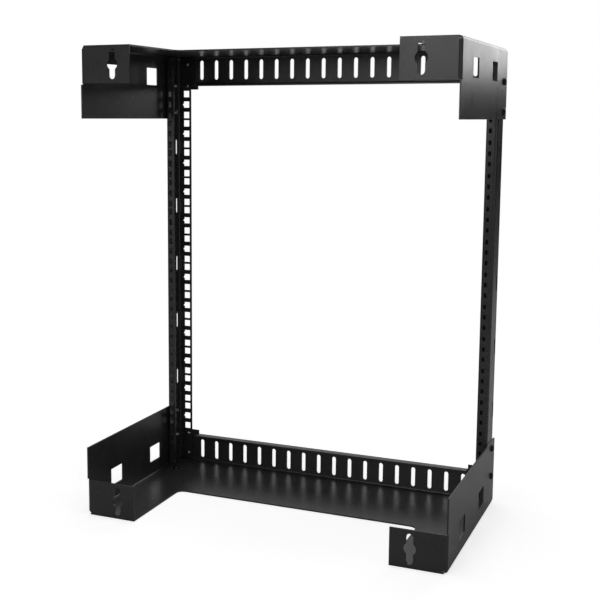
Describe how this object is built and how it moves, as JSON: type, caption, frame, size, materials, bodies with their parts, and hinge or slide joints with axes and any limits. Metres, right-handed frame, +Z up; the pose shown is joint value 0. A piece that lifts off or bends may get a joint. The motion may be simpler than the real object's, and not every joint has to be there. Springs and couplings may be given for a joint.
{
  "type": "wall mount server rack",
  "caption": "Open frame wall mount rack: folded top and bottom brackets with keyhole tabs and slotted panels, joined by square-hole equipment rails.",
  "frame": {"origin": "under the middle of the rack, on the plane that it stands on", "axes": "+Z up, +Y towards the wall, -Y the face that equipment goes in from"},
  "size_m": [0.5064, 0.2812, 0.635],
  "materials": {
    "bracket_steel": "black fine-textured satin powder coat",
    "rail_steel": "black satin powder coat",
    "screw_steel": "black zinc plated"
  },
  "bodies": {
    "root": {"top_bracket": "bracket_steel", "bottom_bracket": "bracket_steel", "left_rail": "rail_steel", "right_rail": "rail_steel", "top_left_side_screw_1": "screw_steel", "top_left_side_screw_2": "screw_steel", "top_left_front_screw_1": "screw_steel", "top_left_front_screw_2": "screw_steel", "top_right_side_screw_1": "screw_steel", "top_right_side_screw_2": "screw_steel", "top_right_front_screw_1": "screw_steel", "top_right_front_screw_2": "screw_steel", "top_earth_screw": "screw_steel", "bottom_left_side_screw_1": "screw_steel", "bottom_left_side_screw_2": "screw_steel", "bottom_left_front_screw_1": "screw_steel", "bottom_left_front_screw_2": "screw_steel", "bottom_right_side_screw_1": "screw_steel", "bottom_right_side_screw_2": "screw_steel", "bottom_right_front_screw_1": "screw_steel", "bottom_right_front_screw_2": "screw_steel", "bottom_earth_screw": "screw_steel"}
  },
  "joints": []
}
